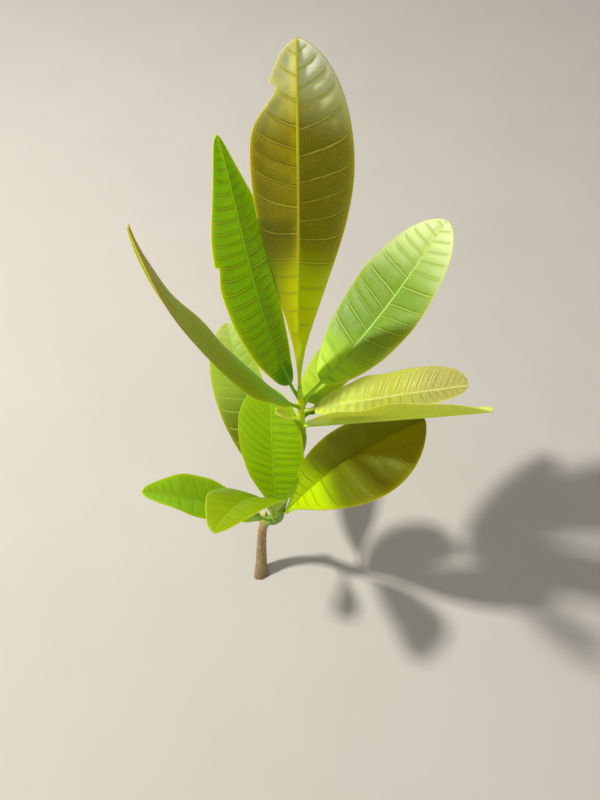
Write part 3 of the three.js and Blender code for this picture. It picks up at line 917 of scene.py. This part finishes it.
def stem_rings():
    """Rings across the stem's line. The radius is the plain one plus ridges, lobes, pores and knuckles.
    The lowest rings turn level, and none goes below the ground."""
    random = np.random.default_rng(BARK_SEED)
    share = np.linspace(0, 1, STEM_STATIONS)
    middle, axis = line_through(STEM_STOPS, share)
    level = (1 - soft_step(middle[:, 2], 0, LEVEL_BELOW))[:, None]
    axis = unit(axis * (1 - level) + np.array([0, 0, 1.0]) * level)
    angle, spoke = spokes(axis, STEM_SIDES)
    height = np.broadcast_to(middle[:, 2:], (STEM_STATIONS, STEM_SIDES))
    cork = 1 - soft_step(height, *CORK_FADES)
    ridges = sum(
        np.sin(k * angle + random.uniform(0, FULL_TURN) + np.sin(height / random.uniform(*RIDGES_WANDER)))
        * random.uniform(*RIDGE_STRENGTHS)
        for k in RIDGES
    )
    lobes = sum(
        high * np.cos(k * angle + phase) * np.exp(-height / fades) for k, phase, fades, high in LOBES
    )
    pore_heights, pore_angles = random.uniform(*PORES_LIE, PORES), random.uniform(0, FULL_TURN, PORES)
    pores = humps(height, angle, pore_heights, pore_angles, PORE_LONG, PORE_WIDE)
    seats = np.array([leaf["height"] for leaf in LEAVES.values()]) - KNUCKLES_HANG
    ways = np.radians([leaf["seat"] for leaf in LEAVES.values()])
    knuckles = humps(height, angle, seats, ways, KNUCKLE_LONG, KNUCKLE_WIDE)
    relief = cork * (RIDGE_HEIGHT * ridges + PORE_HEIGHT * pores) + lobes + KNUCKLE_HEIGHT * knuckles
    radius = radius_along(STEM_RADII, share)[:, None] + relief
    rings = middle[:, None] + radius[..., None] * spoke
    rings[..., 2] = np.maximum(rings[..., 2], 0)
    rings[0, :, 2] = 0
    facts = {"bark": np.stack([height, cork, pores], -1)}
    return rings, facts


print("pores on the bark:", PORES)

# %% [markdown]
# The stem's colours change with height: brown cork, a pinkish brown band, a green swollen joint, and a
# smooth green shoot. A colour ramp over the height says that in one place. Noise stretched along the stem
# streaks it, and the cork's pores are pale.

# %% Colours in bands
STEM_BANDS = (
    (0, (200, 172, 124)), (20, (232, 206, 150)), (48, (236, 204, 144)), (60, (240, 190, 136)),
    (72, (170, 186, 70)), (84, (120, 164, 36)), (100, (120, 166, 30)), (128, (150, 186, 30)),
    (160, (180, 212, 20)), (178, (190, 224, 16)), (196, (226, 246, 16)), (212, (230, 246, 50)),
)


def banded(tree, share, bands):
    """A colour ramp. Each band is a place and the colour there, and the share of the way up to the last
    place picks the colour."""
    ramp = add_node(tree, "ShaderNodeValToRGB", {"Fac": share})
    stops = ramp.color_ramp.elements
    while len(stops) < len(bands):
        stops.new(0.5)
    for stop, (at, colour) in zip(stops, bands):
        stop.position = at / bands[-1][0]
        stop.color = srgb(*colour)
    return ramp.outputs[0]


print("bands up the stem:", len(STEM_BANDS))

# %% The bark's material
STREAKS_STRETCH = (1, 1, 0.25)
STREAK_SCALE = 700
STREAK_COLOUR = (58, 48, 34)
STREAKS_ABOVE_CORK = 0.15
BLOTCH_SCALE = 160
BLOTCHES_START = (0.55, 0.75)
BLOTCH_COLOUR = (150, 140, 96)
PORES_START = (0.3, 0.8)
PORE_SHARE = 0.6
PORE_COLOUR = (186, 170, 128)
SHOOT_ROUGHNESS = 0.45
CORK_ROUGHENS = 0.35


def bark_material():
    """The height picks the band's colour, streaks darken the cork, and blotches and pores lighten it."""
    material, tree, shader, place = start_material("bark")
    height, cork, pores = parts_of(tree, "bark")
    bands = banded(tree, maths(tree, "DIVIDE", height, STEM_BANDS[-1][0]), STEM_BANDS)
    stretching = {"Vector": place, "Scale": STREAKS_STRETCH}
    stretched = add_node(tree, "ShaderNodeMapping", stretching).outputs[0]
    streaks = noise(tree, stretched, STREAK_SCALE, detail=4)
    blotches = ease(tree, noise(tree, place, BLOTCH_SCALE, detail=3), *BLOTCHES_START)
    spots = times(tree, ease(tree, pores, *PORES_START), times(tree, cork, PORE_SHARE))
    colour = tint(tree, times(tree, cork, streaks), bands, srgb(*STREAK_COLOUR), "MULTIPLY")
    colour = tint(tree, blotches, colour, srgb(*BLOTCH_COLOUR), "SOFT_LIGHT")
    colour = tint(tree, spots, colour, srgb(*PORE_COLOUR))
    tree.links.new(colour, shader.inputs["Base Color"])
    roughness = maths(tree, "MULTIPLY_ADD", cork, CORK_ROUGHENS, SHOOT_ROUGHNESS)
    tree.links.new(roughness, shader.inputs["Roughness"])
    depth = times(tree, streaks, maths(tree, "ADD", cork, STREAKS_ABOVE_CORK))
    add_bump(tree, shader, depth, strength=0.7, distance=0.0005)
    shader.inputs["Subsurface Weight"].default_value = 0.1
    shader.inputs["Subsurface Scale"].default_value = 0.001
    return material

# %% Raise the stem
rings, facts = stem_rings()
stem = make_piece("stem_bark", rings, facts, bark_material())
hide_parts("stem")
print("stem faces:", len(stem.data.polygons))

# %% [markdown]
# ## The stub of the seed leaves
# Beside the kink stands what is left of the seed leaves: a short, wrinkled, pinkish stub that ends in a
# pale tip. It is a second closed surface that starts inside the stem.

# %% The stub's shape
STUB_STATIONS = 60
STUB_SIDES = 32
STUB_CLOSES = 12
STUB_TIP_CLOSED = 0.98
WRINKLES = ((0.16, 4, 9), (0.12, 7, -14))


def stub_rings():
    """Rings across the stub's line, closing to a blunt tip by sqrt(1 - 0.98 share^12) and wrinkled by two
    crossing waves: each is its depth times sin(k angle + turn share)."""
    share = np.linspace(0, 1, STUB_STATIONS)
    middle, axis = line_through(STUB_STOPS, share)
    angle, spoke = spokes(axis, STUB_SIDES)
    share = share[:, None]
    radius = radius_along(STUB_RADII, share) * np.sqrt(1 - share**STUB_CLOSES * STUB_TIP_CLOSED)
    wrinkle = sum(deep * np.sin(k * angle + turn * share) for deep, k, turn in WRINKLES)
    rings = middle[:, None] + (radius * (1 + wrinkle))[..., None] * spoke
    spread = np.broadcast_to(share, wrinkle.shape)
    return rings, {"stub": np.stack([spread, wrinkle, spread * 0], -1)}


print("stub:", np.linalg.norm(STUB_STOPS[-1] - STUB_STOPS[0]).round(1), "mm long")

# %% Raise the stub
STUB_BANDS = (
    (0.0, (176, 130, 96)), (0.45, (216, 168, 124)), (0.7, (222, 206, 130)), (1.0, (236, 238, 150)),
)
HOLLOWS_LIE = (0.05, -0.2)
HOLLOW_SHADE_SHARE = 0.4
HOLLOW_SHADE_COLOUR = (84, 56, 40)
SPECKLE_SCALE = 1200
SPECKLE_SHARE = 0.4
SPECKLE_COLOUR = (96, 72, 50)
STUB_ROUGHNESS = 0.75


def stub_material():
    """The share of the way up picks the colour, and painted shade darkens the hollows between wrinkles."""
    material, tree, shader, place = start_material("stub")
    up, wrinkle = parts_of(tree, "stub")[:2]
    hollow_shade = times(tree, ease(tree, wrinkle, *HOLLOWS_LIE), HOLLOW_SHADE_SHARE)
    speckle = noise(tree, place, SPECKLE_SCALE, detail=3)
    # Painted shade in the hollows between the wrinkles.
    colour = tint(tree, hollow_shade, banded(tree, up, STUB_BANDS), srgb(*HOLLOW_SHADE_COLOUR))
    colour = tint(tree, times(tree, speckle, SPECKLE_SHARE), colour, srgb(*SPECKLE_COLOUR), "SOFT_LIGHT")
    tree.links.new(colour, shader.inputs["Base Color"])
    shader.inputs["Roughness"].default_value = STUB_ROUGHNESS
    add_bump(tree, shader, speckle, strength=0.5, distance=0.0003)
    return material


rings, facts = stub_rings()
stub = make_piece("seed_leaf_stub", rings, facts, stub_material())
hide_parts("stem")
print("stub faces:", len(stub.data.polygons))
